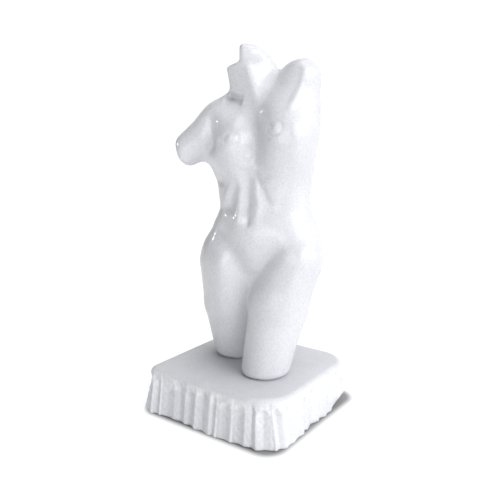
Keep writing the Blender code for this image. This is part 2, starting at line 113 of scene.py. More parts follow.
# The plinth
PLINTH_THICKNESS = PLINTH_HIGH[2] - PLINTH_LOW[2]
FOOT_LOW = (-0.0630, -0.0625)  # the plinth's corners where it stands
FOOT_HIGH = (0.0630, 0.0615)
FOOT_CORNERS = (0.010, 0.022, 0.022, 0.012)  # radii: front left, front right, back right, back left
RIM_LOW = (-0.0645, -0.0540)  # and where its top edge starts to round over: the front leans back most
RIM_HIGH = (0.0585, 0.0625)
RIM_CORNERS = (0.009, 0.030, 0.024, 0.012)
TOP_EDGE_RADIUS = 0.0050
FOOT_ROUNDING = 0.0020
UNDERCUT = 0.010  # the foot is broken away toward its back right corner, by up to this
UNDERCUT_HEIGHT = 0.010
UNDERCUT_START = 0.008  # measured along the right side, from its middle
UNDERCUT_END = 0.056
FLUTE_SPACING = 0.0112  # between the ridges that the gouge left
FLUTE_DEPTH = 0.0013
FLUTE_START = 0.0012  # how much higher or lower than the rounded edge a stroke begins
FLUTE_RUN_IN = 0.0030  # how far down it reaches its depth
FLUTE_LEAN = 0.004  # how far a stroke leans over its height, away from the front right corner
PANEL_STEP = 0.0010  # how far one stroke stands out from the next
STEP_WIDTH = 0.0018  # over which it steps
PLINTH_SIDE_POINTS = 330
PLINTH_CORNER_POINTS = 70
FOOT_RINGS = 3
SIDE_RINGS = 34
RIM_RINGS = 9
TOP_RINGS = 8
TOOL_GRAIN = 0.00022  # the fine roughness that the tool left on the sides
GRAIN_LENGTHS = (0.0045, 0.0021)  # coarse, and fine

# The camera, worked out from the plinth's corners in the photograph
CAMERA_AZIMUTH = math.radians(36)
CAMERA_PITCH = math.radians(11.9)
CAMERA_PLACE = (0.26743, -0.36872, 0.22266)
CAMERA_LENS = 43.2  # millimetres, on a 36 mm sensor

# The marble
MARBLE_DARK = (0.585, 0.592, 0.628, 1.0)
MARBLE_PALE = (0.622, 0.627, 0.658, 1.0)
MARBLE_BRUISED = (0.74, 0.743, 0.76, 1.0)  # where the tool's blows whitened it
BRUISE_BAND = (0.35, 0.8, 0.85, 0.97)  # shares of the thickness: it starts, is full, fades, ends
CLOUD_SCALE = 34.0  # noise scales, per metre
BRUISE_SCALE = 120.0
POLISH_SCALE = 160.0
GRAIN_SCALE = 800.0
SPECK_SCALE = 700.0
BUMP_SCALE = 700.0
MARBLE_IOR = 1.49
COAT_ROUGHNESS = 0.07
GLOW_DEPTH = 0.0015  # how deep light goes into the stone

# The studio
FLOOR_RINGS = (0.3, 1.0, 4.0, 30.0)
FLOOR_SIDES = 96
FLOOR_GAP = 0.0002
FLOOR_COLOUR = (0.25, 0.25, 0.255, 1.0)
FLOOR_GLOW = 0.78  # keeps the floor white where the statuette shades it
# The floor doesn't glow close to the plinth, which paints a thin contact shadow round its foot
GLOW_CORNER = 0.016  # radius of the corners of the area round the plinth that doesn't glow
PAINTED_SHADOW_FADE = 0.004  # over which the glow fades there: the painted contact shadow that the plinth stands in
SUNS = (  # where each soft light comes from, and its strength
    ("key", (0.89, -0.16, 0.42), 1.64),
    ("side", (0.88, 0.32, 0.34), 0.98),
    ("fill", (0.36, -0.91, 0.18), 1.22),
    ("top", (0.09, 0.0, 1.0), 1.08),
)
SUN_SOFTNESS = math.radians(35)
SPARKLE_FROM = (-0.80, -0.25, 0.40)  # a small lamp, seen only as bright points on the polish
SPARKLE_AIM = (0.0, 0.0, 0.15)
SPARKLE_SIZE = 0.03
SPARKLE_POWER = 0.9
BRIGHT_SIDE = (-0.084, 0.962, 0.259)  # where the studio's bright wall stands
WALL_FROM, WALL_TO = 0.35, 0.57  # cosines of the angles off it where the wall ends and is full
WALL_STRENGTH = 0.92
WORLD_STRENGTH = 0.10

# The trunk's sections, bottom to top: up, centre across, centre forward, half width, depth in front, behind
TRUNK = (
    (68, 0.0, 0, 36.0, 22, 24),
    (84, 0.0, 0, 46.5, 27, 28),
    (98, 1.0, 0, 46.0, 29, 29),
    (112, 3.5, 0, 42.0, 28, 26),
    (128, 3.0, 0, 36.0, 24, 23),
    (142, 1.5, 0, 36.0, 23, 24),
    (158, 2.0, 0, 36.0, 23, 27),
    (176, 2.0, -1, 35.0, 21, 29),
    (192, 0.0, -2, 34.0, 20, 28),
    (206, -3.0, -3, 28.0, 17, 22),
    (218, -5.0, -3, 20.0, 14, 17),
)
SECTION_POWER = 2.2  # a little squarer than an ellipse

# Carving strokes on her front and back: a path of (across, up), half width, height, fade at each end
FRONT_STROKES = (
    # the midline from the breastbone to the navel, and the straight muscle on each side
    (((-1, 160), (-2, 150), (-3, 138), (-2, 121)), 4.2, -1.7, (0.3, 0.0)),
    (((-6, 158), (-9, 149), (-10.5, 138), (-10.5, 127), (-8, 115)), 3.6, 1.4, (0.3, 0.15)),
    (((2, 156), (5, 146), (6, 130), (3, 115)), 5.0, 1.2, (0.3, 0.3)),
    # the lower edge of the ribs on her left, with the rib block above it, and on her right
    (((-1, 158), (3, 154), (8, 143), (11, 136), (16, 129), (20, 127)), 2.8, -1.5, (0.2, 0.35)),
    (((11, 152), (16, 142), (24, 137)), 7.0, 1.2, (0.3, 0.3)),
    (((-11, 156), (-16, 145), (-22, 136), (-29, 125)), 3.4, 1.1, (0.3, 0.3)),
    (((-11, 150), (-15, 136), (-19, 121)), 4.5, -1.7, (0.3, 0.2)),
    (((-24, 154), (-29, 142)), 4.5, -1.8, (0.3, 0.3)),
    # the right groin and the thin crest over it, the left groin's fold, and the front of each thigh
    (((-32, 118), (-22, 108), (-14, 97), (-10, 88), (-8, 78), (-8, 66), (-9, 50)), 7.5, -3.6, (0.2, 0.4)),
    (((-21, 114), (-15, 109.5), (-9, 105)), 1.8, 0.6, (0.25, 0.3)),
    (((32, 106), (22, 98), (14, 91), (8, 84), (3, 76), (-2, 64)), 7.0, -3.4, (0.4, 0.3)),
    (((41, 109), (42, 101), (40, 92), (36, 82), (32, 70), (28, 58)), 5.0, 1.0, (0.3, 0.4)),
    (((-26, 101), (-23, 90), (-23, 76), (-26, 54), (-28, 28)), 8.0, 1.5, (0.25, 0.4)),
    # between the breasts
    (((0, 206), (1, 198), (3, 190), (3.5, 178), (3, 166), (1, 156)), 9.0, -3.6, (0.35, 0.35)),
    # the front of the raised arm, running down into the breast, and the side of the ribs under it
    (((36, 232), (36, 221), (33, 212), (29, 202), (26, 192)), 3.2, 1.4, (0.1, 0.4)),
    (((31, 196), (35, 182), (35.5, 168), (34, 150)), 4.5, 0.6, (0.3, 0.3)),
    # the hollow over the right collarbone, and the valley between the right arm and the breast
    (((-28, 209.5), (-19, 208.5), (-9, 206)), 3.2, -4.0, (0.3, 0.2)),
    (((-34, 202), (-33, 190), (-32, 178), (-32, 164)), 5.5, -3.0, (0.35, 0.25)),
)
BACK_STROKES = (
    # the spine, the cleft and the dimples over it
    (((1, 112), (3, 130), (3, 160), (0, 190), (-3, 205)), 4.5, -2.6, (0.15, 0.3)),
    (((0, 106), (0, 90), (0, 66)), 3.2, -4.0, (0.15, 0.0)),
    (((-13, 118), (-11, 114)), 4.0, -1.0, (0.3, 0.3)),
    (((13, 118), (11, 114)), 4.0, -1.0, (0.3, 0.3)),
    # the shoulder blades' inner and lower edges
    (((-9, 196), (-12, 182), (-17, 172), (-27, 168)), 3.6, -1.6, (0.25, 0.25)),
    (((11, 204), (13, 190), (17, 179), (27, 175)), 3.6, -1.6, (0.25, 0.25)),
    # under each buttock
    (((-36, 70), (-22, 65), (-8, 66)), 3.4, -2.2, (0.3, 0.3)),
    (((36, 70), (22, 65), (8, 66)), 3.4, -2.2, (0.3, 0.3)),
)


def ease(share):
    """A smooth step from 0 to 1."""
    share = np.clip(share, 0, 1)
    return share * share * (3 - 2 * share)


def join(first, second, blend):
    """Union of two fields, with a fillet of about this size between them."""
    near = np.maximum(blend - np.abs(first - second), 0) / blend
    return np.minimum(first, second) - near * near * blend / 4


def cut(first, second, blend):
    """What both fields hold, with a rounded edge of about this size."""
    return -join(-first, -second, blend)


def ellipsoid(points, centre, radii):
    offset = points - np.array(centre, float)
    radii = np.array(radii, float)
    reach = np.linalg.norm(offset / radii, axis=1)
    slope = np.linalg.norm(offset / radii**2, axis=1)
    return np.where(slope > 1e-9, reach * (reach - 1) / np.maximum(slope, 1e-9), -radii.min())


def limb(points, start, end, start_radius, end_radius):
    """A round limb that tapers from one ball to another."""
    start = np.array(start, float)
    axis = np.array(end, float) - start
    length2 = axis @ axis
    drop = start_radius - end_radius
    slant2 = length2 - drop * drop
    offset = points - start
    along = offset @ axis
    beyond = along - length2
    aside2 = ((offset * length2 - np.outer(along, axis)) ** 2).sum(axis=1)
    lean = np.sign(drop) * drop * drop * aside2
    side = (np.sqrt(aside2 * slant2 / length2) + along * drop) / length2 - start_radius
    far_ball = np.sqrt(aside2 + beyond**2 * length2) / length2 - end_radius
    near_ball = np.sqrt(aside2 + along**2 * length2) / length2 - start_radius
    distance = np.where(np.sign(beyond) * slant2 * beyond**2 * length2 > lean, far_ball, side)
    return np.where(np.sign(along) * slant2 * along**2 * length2 < lean, near_ball, distance)


def half_space(points, point, normal):
    """Negative on the side of the plane that is kept."""
    normal = np.array(normal, float)
    return (points - np.array(point, float)) @ (normal / np.linalg.norm(normal))


def smooth_curve(at, stations, values):
    """A cubic through the values that never overshoots between two of them."""
    stations = np.asarray(stations, float)
    values = np.asarray(values, float)
    span = np.diff(stations)
    rise = np.diff(values) / span
    slope = np.zeros(len(stations))
    slope[0], slope[-1] = rise[0], rise[-1]
    mean = (span[1:] * rise[:-1] + span[:-1] * rise[1:]) / (span[1:] + span[:-1])
    slope[1:-1] = np.where(rise[:-1] * rise[1:] > 0, mean, 0)
    at = np.clip(at, stations[0], stations[-1])
    i = np.clip(np.searchsorted(stations, at) - 1, 0, len(stations) - 2)
    t = (at - stations[i]) / span[i]
    leave = (1 + 2 * t) * (1 - t) ** 2 * values[i] + t * (1 - t) ** 2 * span[i] * slope[i]
    arrive = t * t * (3 - 2 * t) * values[i + 1] - t * t * (1 - t) * span[i] * slope[i + 1]
    return leave + arrive


def trunk(points):
    """The body from the hips to the base of the neck, lofted through its sections."""
    up = points[:, 2]
    columns = list(zip(*TRUNK))
    stations = columns[0]
    across, forward, width, front, back = (smooth_curve(up, stations, c) for c in columns[1:])
    u = points[:, 0] - across
    v = points[:, 1] - forward
    depth = np.where(v > 0, front, back)
    reach = (np.abs(u / width) ** SECTION_POWER + np.abs(v / depth) ** SECTION_POWER) ** (1 / SECTION_POWER)
    round_reach = np.maximum(np.hypot(u / width, v / depth), 1e-9)
    slope = np.maximum(np.hypot(u / width**2, v / depth**2) * reach / round_reach, 1e-9)
    body = np.where(reach < 1e-6, -np.minimum(width, depth), reach * (reach - 1) / slope)
    end_rounding = 12
    body = cut(body, up - stations[-1], end_rounding)
    return cut(body, stations[0] - up, end_rounding)


def legs(points):
    """Both thighs down to where they are cut: her left one steps forward."""
    right = join(
        limb(points, (-22.5, 0, 80), (-25, -6, 48), 27.6, 25.2),
        limb(points, (-25, -6, 48), (-25, -12, -4), 25.2, 17.0),
        2,
    )
    left = join(
        limb(points, (27.5, 8, 88), (18.5, 12, 53), 23, 22.4),
        limb(points, (18.5, 12, 53), (10, 23, -4), 22.4, 18.2),
        5,
    )
    between = limb(points, (0, 4, 82), (-6, -11, 6), 14, 8)
    return join(join(right, left, 3), between, 6)


def right_arm(points):
    """The short stump of the lowered arm, broken off above the elbow."""
    arm = limb(points, (-33, 2, 187), (-69, 15, 161), 17, 10.3)
    arm = join(arm, limb(points, (-40, 3, 172), (-31, 5, 155), 8, 4), 9)  # the fold in front of the armpit
    arm = cut(arm, half_space(points, (-65, 13, 165), (-0.88, 0.42, -0.2)), 5)
    return cut(arm, half_space(points, (-60, 15, 160.3), (-0.6, 0.1, -0.79)), 4)


def left_arm(points):
    """The raised upper arm, cut off short above the shoulder."""
    arm = limb(points, (24, -4, 186), (31.5, -4, 226), 17.5, 11.5)
    arm = cut(arm, half_space(points, (34.5, -4, 235), (0.7, 0, 1)), 7)
    return cut(arm, half_space(points, (35.5, -4, 234.5), (-0.43, 0, 0.9)), 3)


def neck(points):
    """The neck's stump: its throat is broken lower than the back, and two flat facets meet in front."""
    stump = limb(points, (-4, -2, 205), (-9, -1, 245), 18.5, 20.5)
    front_ridge = (1.4, 16, 210)
    stump = cut(stump, half_space(points, front_ridge, (0.566, 0.754, 0.199)), 2)
    stump = cut(stump, half_space(points, front_ridge, (-0.226, 0.915, -0.08)), 2)
    over_the_facets = ellipsoid(points, (-14, 5, 238.5), (18, 13, 11))
    stump = join(stump, over_the_facets, 2.5)
    aside = points[:, 0] * 0.94 - points[:, 1] * 0.342
    throat_step = join(-(aside + 16.5), points[:, 2] - 234 - 0.35 * (aside + 16.5), 2)
    stump = cut(stump, throat_step, 3)
    stump = cut(stump, half_space(points, (-9, 8, 246), (0.05, -0.12, 1)), 4)
    stump = cut(stump, half_space(points, (2, -3, 244.5), (0.6, -0.1, 0.8)), 5)
    return cut(stump, half_space(points, (4.5, -3, 239), (0.82, -0.1, 0.57)), 4)


def stroke(points, path, width, height, fades, side):
    """Relief along a path on her front (side 1) or her back (side -1), raised or sunk."""
    flat = points[:, (0, 2)]
    path = np.array(path, float)
    steps = np.diff(path, axis=0)
    lengths = np.linalg.norm(steps, axis=1)
    starts = np.concatenate([[0], np.cumsum(lengths)])
    nearest = np.full(len(flat), 1e9)
    along = np.zeros(len(flat))
    for start, step, length, passed in zip(path[:-1], steps, lengths, starts):
        t = np.clip((flat - start) @ step / length**2, 0, 1)
        distance = np.linalg.norm(flat - start - t[:, None] * step, axis=1)
        closer = distance < nearest
        nearest = np.where(closer, distance, nearest)
        along = np.where(closer, (passed + t * length) / starts[-1], along)
    relief = height * np.exp(-((nearest / width) ** 2)) * ease((side * points[:, 1] + 2) / 10)
    if fades[0]:
        relief = relief * ease(along / fades[0])
    if fades[1]:
        relief = relief * ease((1 - along) / fades[1])
    return relief


def figure(points):
    """The whole figure as one field: negative inside, in parts of its height."""
    body = trunk(points)
    for centre, radii in (((17, -1, 164), (20, 27, 36)), ((-14, -2, 166), (19, 26, 36))):
        body = join(body, ellipsoid(points, centre, radii), 4)  # the two halves of the ribcage
    for centre in ((-22, -17, 86), (20, -17, 86)):
        body = join(body, ellipsoid(points, centre, (23, 19, 25)), 8)  # buttocks
    body = join(body, ellipsoid(points, (-1, 10, 104), (27, 20, 24)), 10)  # belly
    body = join(body, legs(points), 8)
    body = join(body, ellipsoid(points, (-15, 13, 172), (19, 18, 22)), 9)  # right breast
    body = join(body, ellipsoid(points, (22, 10, 179), (21, 20, 24)), 14)  # left breast
    body = join(body, limb(points, (19, 5, 192), (28, -2, 222), 15, 12), 14)  # chest to the raised arm
    body = join(body, ellipsoid(points, (-30, -3, 190), (16, 16, 15)), 12)  # right shoulder
    body = join(body, right_arm(points), 12)
    body = join(body, left_arm(points), 10)
    body = join(body, limb(points, (24, -8, 150), (26, -6, 200), 12, 13.5), 10)  # left flank
    body = join(body, limb(points, (0, -5, 214), (24, -5, 220), 10, 9), 6)  # neck to the raised arm
    body = join(body, neck(points), 5)
    body = join(body, limb(points, (17, -2, 222), (7, 10.5, 205), 5.5, 5), 2)  # strap muscle at its foot
    for path, width, height, fades in FRONT_STROKES:
        body = body - stroke(points, path, width, height, fades, 1)
    for path, width, height, fades in BACK_STROKES:
        body = body - stroke(points, path, width, height, fades, -1)
    body = cut(body, -ellipsoid(points, (-1.6, 29.2, 119), (2.2, 4, 2.8)), 3)  # navel
    leg_end_rounding = 5
    return cut(body, -points[:, 2], leg_end_rounding)


def corner_view(grid, corner):
    """The grid seen from one corner of its cells."""
    return grid[tuple(slice(c, n - 1 + c) for c, n in zip(corner, grid.shape))]


def even_out(value):
    """Fills the weakest empty corner where a cell's corners alternate, or the surface touches itself."""
    unit = np.eye(3, dtype=int)
    for _ in range(20):
        inside = value < 0
        patterns = []
        for axis in range(3):
            one, other = unit[(axis + 1) % 3], unit[(axis + 2) % 3]
            patterns.append(((0 * one, one + other), (one, other)))
        for flip in ((0, 0, 0), (1, 0, 0), (0, 1, 0), (0, 0, 1)):
            near = np.array(flip)
            rest = [c for c in np.ndindex(2, 2, 2) if tuple(c) not in (tuple(near), tuple(1 - near))]
            patterns.append(((near, 1 - near), rest))
        changed = False
        for pair, rest in patterns:
            ins = [corner_view(inside, c) for c in pair]
            outs = [corner_view(inside, c) for c in rest]
            same = ins[0] == ins[1]
            for other in outs:
                same = same & (other != ins[0])
            for cell in np.argwhere(same):
                ends = [tuple(cell + c) for c in list(pair) + list(rest)]
                empty = [end for end in ends if value[end] >= 0]
                if empty:
                    value[min(empty, key=lambda end: value[end])] = -1e-3
                    changed = True
            inside = value < 0
        if not changed:
            return value
    return value


def sampled(field, low, high, cell, skip=4):
    """The field on a fine grid: exact in the blocks near the surface, and right in sign elsewhere."""
    blocks = np.ceil((high - low) / (cell * skip)).astype(int)
    counts = blocks * skip + 1
    axes = [low[i] + cell * np.arange(counts[i]) for i in range(3)]
    coarse_points = np.stack(np.meshgrid(*[axis[::skip] for axis in axes], indexing="ij"), -1)
    coarse = field(coarse_points.reshape(-1, 3)).reshape(blocks + 1)
    reach = 1.5 * cell * skip
    close = np.zeros(blocks, bool)
    filled = np.zeros(blocks, int)
    for corner in np.ndindex(2, 2, 2):
        part = coarse[tuple(slice(c, n + c) for c, n in zip(corner, blocks))]
        close |= np.abs(part) < reach
        filled += part < 0
    close |= (filled > 0) & (filled < 8)
    near = np.zeros(counts, bool)
    where = np.argwhere(close) * skip
    for step in np.ndindex(skip + 1, skip + 1, skip + 1):
        near[tuple((where + step).T)] = True
    value = coarse
    for axis in range(3):
        value = np.repeat(value, skip, axis=axis)
    value = value[tuple(slice(0, n) for n in counts)].copy()
    index = np.argwhere(near)
    value[near] = field(low + index * cell)
    return value, counts


def surface_of(field, low, high, cell):
    """Points and four-sided faces of the surface where the field is zero."""
    value, counts = sampled(field, low, high, cell)
    value = even_out(value)
    inside = value < 0
    total = np.zeros(tuple(counts - 1) + (3,))
    crossings = np.zeros(counts - 1)
    # each cell's point is the mean of where its twelve edges cross the surface
    for axis in range(3):
        ends = [slice(None)] * 3
        begins = [slice(None)] * 3
        begins[axis] = slice(0, -1)
        ends[axis] = slice(1, None)
        begins, ends = tuple(begins), tuple(ends)
        crossed = inside[begins] != inside[ends]
        found = np.argwhere(crossed)
        first, second = value[begins][crossed], value[ends][crossed]
        place = low + found * cell
        place[:, axis] += first / (first - second) * cell
        one, other = [i for i in range(3) if i != axis]
        for a in (0, 1):
            for b in (0, 1):
                cells = found.copy()
                cells[:, one] -= a
                cells[:, other] -= b
                held = ((cells >= 0) & (cells < counts - 1)).all(axis=1)
                spots = tuple(cells[held].T)
                np.add.at(total, spots, place[held])
                np.add.at(crossings, spots, 1)
    used = crossings > 0
    number = np.full(used.shape, -1)
    number[used] = np.arange(used.sum())
    points = total[used] / crossings[used][:, None]
    faces = []
    # each grid edge that crosses the surface has four cells round it, which make one face
    for axis in range(3):
        one, other = (axis + 1) % 3, (axis + 2) % 3
        begins = [slice(1, -1)] * 3
        ends = [slice(1, -1)] * 3
        begins[axis] = slice(0, -1)
        ends[axis] = slice(1, None)
        first, second = inside[tuple(begins)], inside[tuple(ends)]
        for leaving in (True, False):
            found = np.argwhere(first & ~second if leaving else ~first & second)
            found[:, one] += 1
            found[:, other] += 1
            ring = []
            for a, b in ((1, 1), (0, 1), (0, 0), (1, 0)):
                cellwise = found.copy()
                cellwise[:, one] -= a
                cellwise[:, other] -= b
                ring.append(number[tuple(cellwise.T)])
            faces.append(np.stack(ring if leaving else ring[::-1], axis=1))
    return points, np.concatenate(faces)


def settle(points, field, most, rounds):
    """Moves points onto the surface along its slope, by at most this much each time."""
    value = field(points)
    slope = np.empty_like(points)
    for axis in range(3):
        offset = np.zeros(3)
        offset[axis] = SLOPE_STEP
        slope[:, axis] = (field(points + offset) - value) / SLOPE_STEP
    slope /= np.maximum((slope**2).sum(axis=1), LEAST_SLOPE)[:, None]
    for left in reversed(range(rounds)):
        move = -slope * value[:, None]
        length = np.maximum(np.linalg.norm(move, axis=1), 1e-9)
        points = points + move * np.minimum(1, most / length)[:, None]
        if left:
            value = field(points)
    return points


def halved(points, faces):
    """Each four-sided face made four, with new points in its middle and on its edges."""
    sides = np.concatenate([faces[:, (i, (i + 1) % 4)] for i in range(4)])
    edges, number = np.unique(np.sort(sides, axis=1), axis=0, return_inverse=True)
    number = number.reshape(4, -1).T + len(points)
    centre = np.arange(len(faces)) + len(points) + len(edges)
    more = np.concatenate([points, points[edges].mean(axis=1), points[faces].mean(axis=1)])
    quarters = []
    for i in range(4):
        quarters.append(np.stack([faces[:, i], number[:, i], centre, number[:, (i + 3) % 4]], axis=1))
    return more, np.concatenate(quarters)


def wander(points, length):
    """A slow unevenness from 0, between -1 and 1, at about this length."""
    k = 2 * math.pi / length
    x, y, z = points.T
    one = np.sin(k * (x + 0.6 * y) + 1.3 * np.sin(k * 0.7 * z + 0.4))
    two = np.sin(k * (z - 0.5 * x) * 0.8 + 1.1 * np.sin(k * 0.6 * y + 2.1))
    three = np.sin(k * (y + 0.4 * z) * 1.2 + 1.7 * np.sin(k * 0.5 * x + 4.0))
    return (one + two + three) / 3


def fine_figure(points):
    """The figure with what only the fine surface carries: the nipples and the hand-worked unevenness."""
    body = figure(points)
    for centre, facing in NIPPLES:
        offset = points - np.array(centre)
        away = np.linalg.norm(offset - np.outer(offset @ np.array(facing), facing), axis=1)
        near = np.linalg.norm(offset, axis=1) < NIPPLE_REACH
        groove = AREOLA_DEPTH * np.exp(-(((away - AREOLA_RADIUS) / AREOLA_WIDTH) ** 2))
        bump = NIPPLE_HEIGHT * np.exp(-((away / NIPPLE_WIDTH) ** 2))
        body = body - np.where(near, bump - groove, 0)
    return body - HAND_RIPPLE * wander(points, HAND_RIPPLE_LENGTH)


def add_piece(name, points, faces, material, slot, *nodes):
    """One visible piece, from four-sided faces, in place of its solids."""
    mesh = bpy.data.meshes.new(name)
    mesh.vertices.add(len(points))
    mesh.vertices.foreach_set("co", points.astype(np.float32).ravel())
    mesh.loops.add(faces.size)
    mesh.loops.foreach_set("vertex_index", faces.astype(np.int32).ravel())
    mesh.polygons.add(len(faces))
    mesh.polygons.foreach_set("loop_start", np.arange(0, faces.size, faces.shape[1], dtype=np.int32))
    mesh.update(calc_edges=True)
    mesh.materials.append(material)
    mesh.shade_smooth()
    piece = bpy.data.objects.new(name, mesh)
    bpy.context.scene.collection.objects.link(piece)
    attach(piece, "root")
    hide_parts(*nodes)


def held_in(points, low, high):
    """The points shrunk about their middle, where they pass the solid's box."""
    lowest, highest = points.min(axis=0), points.max(axis=0)
    share = np.minimum(1, (high - low) / (highest - lowest))
    return (points - (lowest + highest) / 2) * share + (low + high) / 2


def add_figure(material):
    points, faces = surface_of(fine_figure, FIELD_LOW, FIELD_HIGH, FIGURE_CELL)
    points = settle(points, fine_figure, FIGURE_CELL / 2, 3)
    points, faces = halved(points, faces)
    points = settle(points, fine_figure, FIGURE_CELL / 4, 2)
    points[:, 2] = np.maximum(points[:, 2], 0)
    left = np.array([math.cos(FIGURE_TURN), math.sin(FIGURE_TURN), 0])
    front = np.array([math.sin(FIGURE_TURN), -math.cos(FIGURE_TURN), 0])
    size = (FIGURE_HIGH[2] - FIGURE_LOW[2]) / (points[:, 2].max() - points[:, 2].min())
    upright = np.array([0, 0, 1])
    placed = (points[:, :1] * left + points[:, 1:2] * front + points[:, 2:] * upright) * size
    placed = held_in(placed, FIGURE_LOW, FIGURE_HIGH)
    # across, forward and up are a left-handed set, so the faces turn round
    add_piece("torso_surface", placed, faces[:, ::-1], material, "polished_marble", "female_torso")


def rounded_outline(low, high, radii, side_points, corner_points):
    """Points and outward directions round a rectangle, anticlockwise from its front left corner."""
    corners = ((low[0], low[1]), (high[0], low[1]), (high[0], high[1]), (low[0], high[1]))
    inward = ((1, 1), (-1, 1), (-1, -1), (1, -1))
    centres = [np.array(c) + r * np.array(i) for c, r, i in zip(corners, radii, inward)]
    points, normals = [], []
    for i in range(4):
        start = math.pi + i * math.pi / 2
        for step in range(corner_points):
            turn = start + step / corner_points * math.pi / 2
            normals.append(np.array([math.cos(turn), math.sin(turn)]))
            points.append(centres[i] + radii[i] * normals[-1])
        normal = np.array([math.cos(start + math.pi / 2), math.sin(start + math.pi / 2)])
        begin = centres[i] + radii[i] * normal
        end = centres[(i + 1) % 4] + radii[(i + 1) % 4] * normal
        for step in range(side_points):
            points.append(begin + (end - begin) * step / side_points)
            normals.append(normal)
    return np.array(points), np.array(normals)


def hewn_relief(outline, height):
    """How far the tool left the side out (or in, below 0) at each point of the outline, at this height."""
    steps = np.linalg.norm(outline - np.roll(outline, 1, axis=0), axis=1)
    along = np.cumsum(steps)
    length = along[-1]
    count = round(length / FLUTE_SPACING)
    ridges = [length * (i + 0.5 + 0.18 * math.sin(2.4 * i)) / count for i in range(count)]
    ridges.append(ridges[0] + length)
    rim = PLINTH_THICKNESS - TOP_EDGE_RADIUS
    relief = np.zeros(len(outline))
    for i in range(count):
        # one stroke of the gouge: a shallow hollow between two ridges, with a round upper end
        middle, half = (ridges[i] + ridges[i + 1]) / 2, (ridges[i + 1] - ridges[i]) / 2
        off = np.abs(along - middle)
        off = np.minimum(off, length - off)
        share = np.minimum(off / half, 1)
        begun = rim + FLUTE_START * math.sin(4.3 * i) - half * (1 - np.sqrt(1 - share**2))
        deep = FLUTE_DEPTH * (1 + 0.35 * math.sin(5.1 * i + 1)) * (1 + np.cos(math.pi * share)) / 2
        relief -= deep * ease((begun - height) / FLUTE_RUN_IN)
        on_face = ease((half - off) / STEP_WIDTH + 0.5)
        relief += on_face * PANEL_STEP * math.sin(7.3 * i + 2) * (1.4 - 0.9 * height / rim)
    return relief


def rim_distance(points):
    """Distance from the rim's outline, negative inside it."""
    low, high = np.array(RIM_LOW), np.array(RIM_HIGH)
    from_middle = points - (low + high) / 2
    front_left, front_right, back_right, back_left = RIM_CORNERS
    front = np.where(from_middle[:, 0] < 0, front_left, front_right)
    back = np.where(from_middle[:, 0] < 0, back_left, back_right)
    radius = np.where(from_middle[:, 1] < 0, front, back)
    past = np.abs(from_middle) - (high - low) / 2 + radius[:, None]
    return np.minimum(past.max(axis=1), 0) + np.linalg.norm(np.maximum(past, 0), axis=1) - radius


def rim_above(foot, normals):
    """Where each foot point's stroke meets the rim, straight up or leaning, and the way out from there."""
    tangents = np.column_stack([-normals[:, 1], normals[:, 0]])
    leaning = FLUTE_LEAN * (np.maximum(normals[:, 0], 0) ** 2 - np.minimum(normals[:, 1], 0) ** 2)
    start = foot + tangents * leaning[:, None]
    reach = np.zeros(len(foot))
    landing_steps = 24
    for _ in range(landing_steps):
        reach += rim_distance(start - normals * reach[:, None])
    rim = start - normals * reach[:, None]
    nearby = 1e-5
    sideways = rim_distance(rim + (nearby, 0)) - rim_distance(rim - (nearby, 0))
    forward = rim_distance(rim + (0, nearby)) - rim_distance(rim - (0, nearby))
    outward = np.column_stack([sideways, forward])
    return rim, outward / np.linalg.norm(outward, axis=1)[:, None]


def plinth_ring(height, inset, side_points, corner_points):
    """The plinth's side at this height, set in by this much."""
    foot, normals = rounded_outline(FOOT_LOW, FOOT_HIGH, FOOT_CORNERS, side_points, corner_points)
    rim, outward = rim_above(foot, normals)
    rim_height = PLINTH_THICKNESS - TOP_EDGE_RADIUS
    lean = min(1.0, height / rim_height)
    over = max(0.0, (height - rim_height) / TOP_EDGE_RADIUS)
    relief = hewn_relief(foot, min(height, rim_height)) * (1 - over)
    ring = foot + (rim - foot) * lean + normals * relief[:, None] - outward * inset
    broken = ease((ring[:, 1] - UNDERCUT_START) / (UNDERCUT_END - UNDERCUT_START))
    broken = broken * ease(ring[:, 0] / FOOT_HIGH[0]) * ease(1 - height / UNDERCUT_HEIGHT)
    ring[:, 0] -= UNDERCUT * broken
    return np.column_stack([ring, np.full(len(ring), height)])


def rim_turns(count):
    """Heights and insets over the rounded top edge, after its lower end."""
    for i in range(1, count + 1):
        turn = i / count * math.pi / 2
        yield (
            PLINTH_THICKNESS - TOP_EDGE_RADIUS * (1 - math.sin(turn)),
            TOP_EDGE_RADIUS * (1 - math.cos(turn)),
        )


